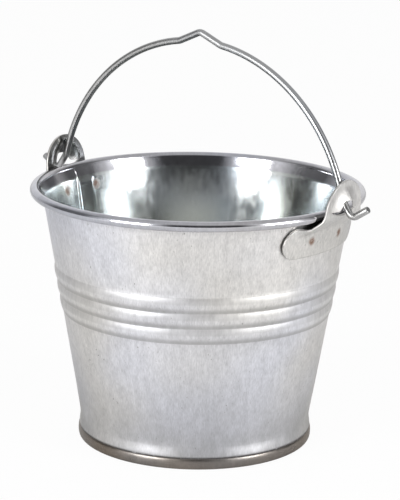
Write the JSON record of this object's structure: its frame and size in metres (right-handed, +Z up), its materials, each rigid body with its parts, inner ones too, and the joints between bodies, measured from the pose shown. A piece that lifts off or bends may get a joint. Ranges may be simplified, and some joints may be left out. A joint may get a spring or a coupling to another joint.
{
  "type": "ice bucket",
  "caption": "Small tapered galvanised sheet-metal ice bucket with ribbed wall, rolled rim, foot ring, spot-welded ears and a swinging wire bail.",
  "frame": {"origin": "middle of the foot ring, on the surface that the bucket stands on", "axes": "+Z up along the bucket's axis; +X towards the right ear, along the bail's swing axis"},
  "size_m": [0.145, 0.1206, 0.1494],
  "materials": {
    "galvanised_sheet": "galvanised, satin outside with fine vertical grain, glossier inside",
    "dark_galvanised_ring": "galvanised, darker and warmer than the wall",
    "ear_sheet": "galvanised, satin, with brown spot-weld marks",
    "steel_wire": "drawn wire, satin"
  },
  "bodies": {
    "bucket": {"bucket_wall": "galvanised_sheet", "rim_wire": "steel_wire", "bottom_disc": "galvanised_sheet", "foot_ring": "dark_galvanised_ring", "right_ear": "ear_sheet", "left_ear": "ear_sheet"},
    "bail": {"bail_handle": "steel_wire"}
  },
  "joints": [
    {"name": "bail_swing", "type": "hinge", "parent": "bucket", "child": "bail", "pos_m": [0, 0, 0.0936], "axis": [1, 0, 0], "range_deg": [-84, 84]}
  ]
}
